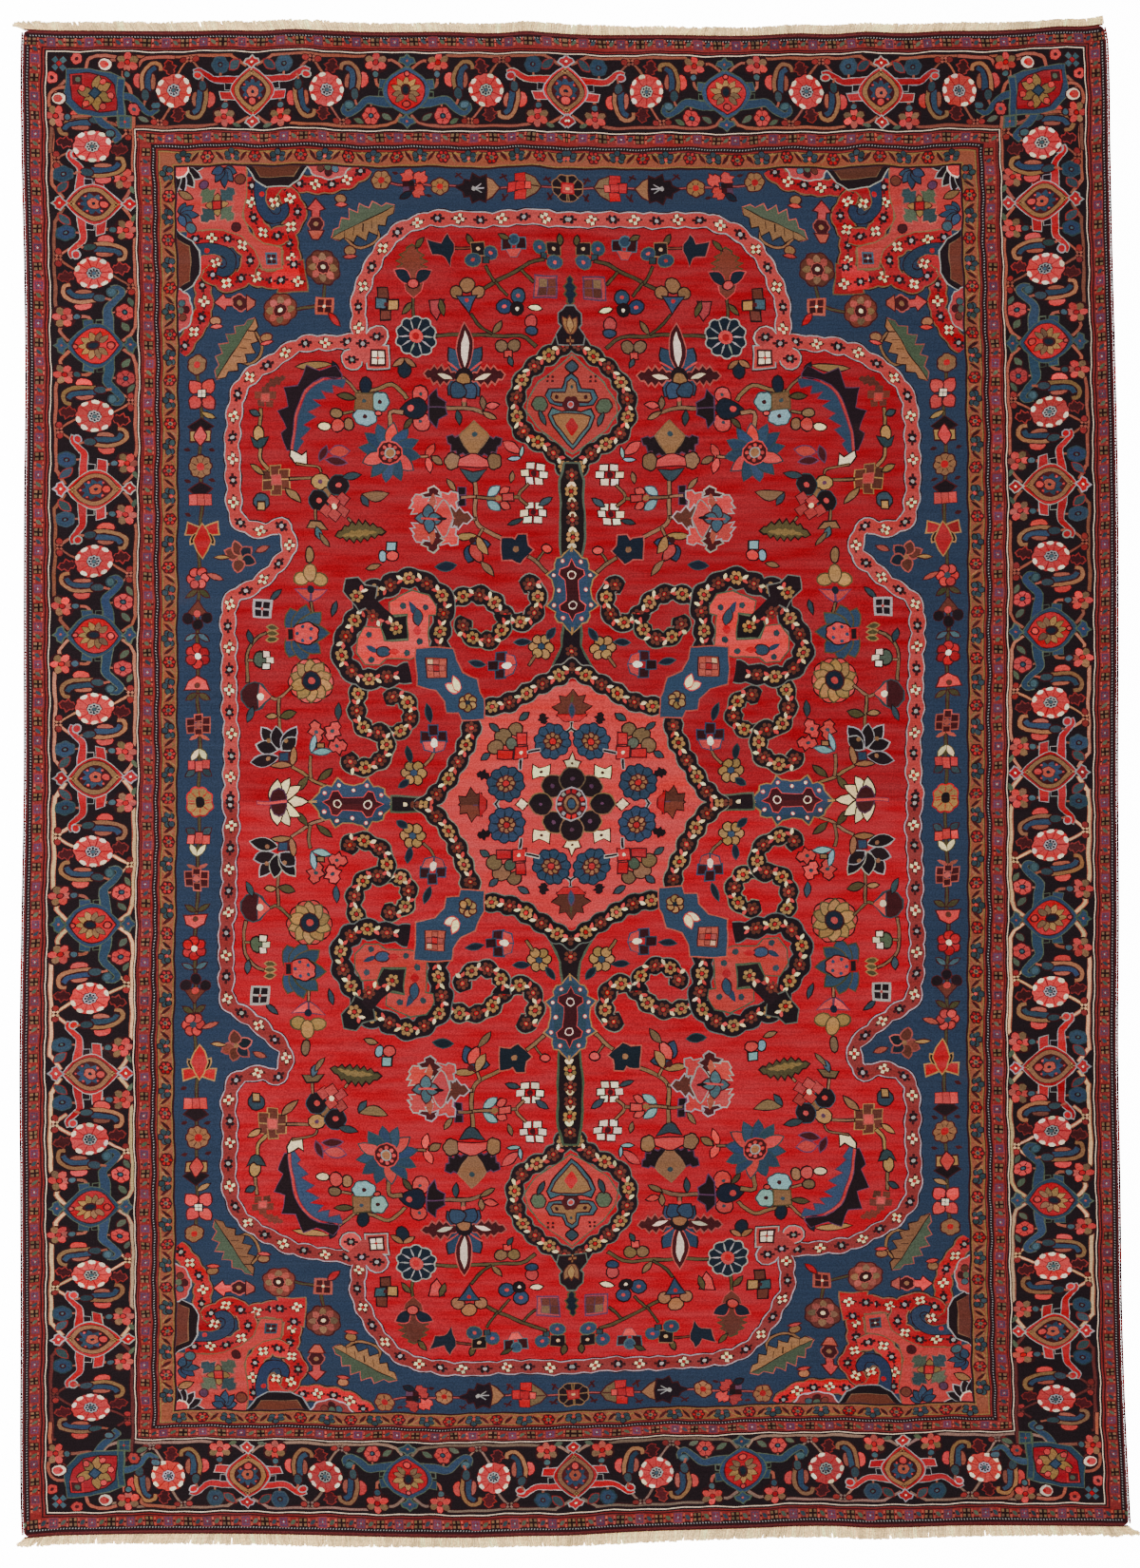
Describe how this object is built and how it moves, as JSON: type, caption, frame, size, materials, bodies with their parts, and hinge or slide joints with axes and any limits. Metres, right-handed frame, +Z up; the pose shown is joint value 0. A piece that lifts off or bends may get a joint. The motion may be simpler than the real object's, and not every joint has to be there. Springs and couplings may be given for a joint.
{
  "type": "persian rug",
  "caption": "Large rectangular hand-knotted pile rug with a floral medallion, overcast side cords and a short cotton fringe at both ends, lying flat.",
  "frame": {"origin": "centre of the rug's bounding box, on the floor it lies on", "axes": "+X across the rug, +Y along its length, +Z up out of the pile"},
  "size_m": [2.8374, 3.8806, 0.008],
  "materials": {
    "pile_wool": "matt knotted wool pile with a slight sheen, patterned in red, navy, blue, coral, ochre and cream",
    "cord_wool": "matt wool overcasting",
    "warp_cotton": "matt undyed cotton yarn"
  },
  "bodies": {
    "root": {"pile": "pile_wool", "side_cord_left": "cord_wool", "side_cord_right": "cord_wool", "fringe_top": "warp_cotton", "fringe_bottom": "warp_cotton"}
  },
  "joints": []
}
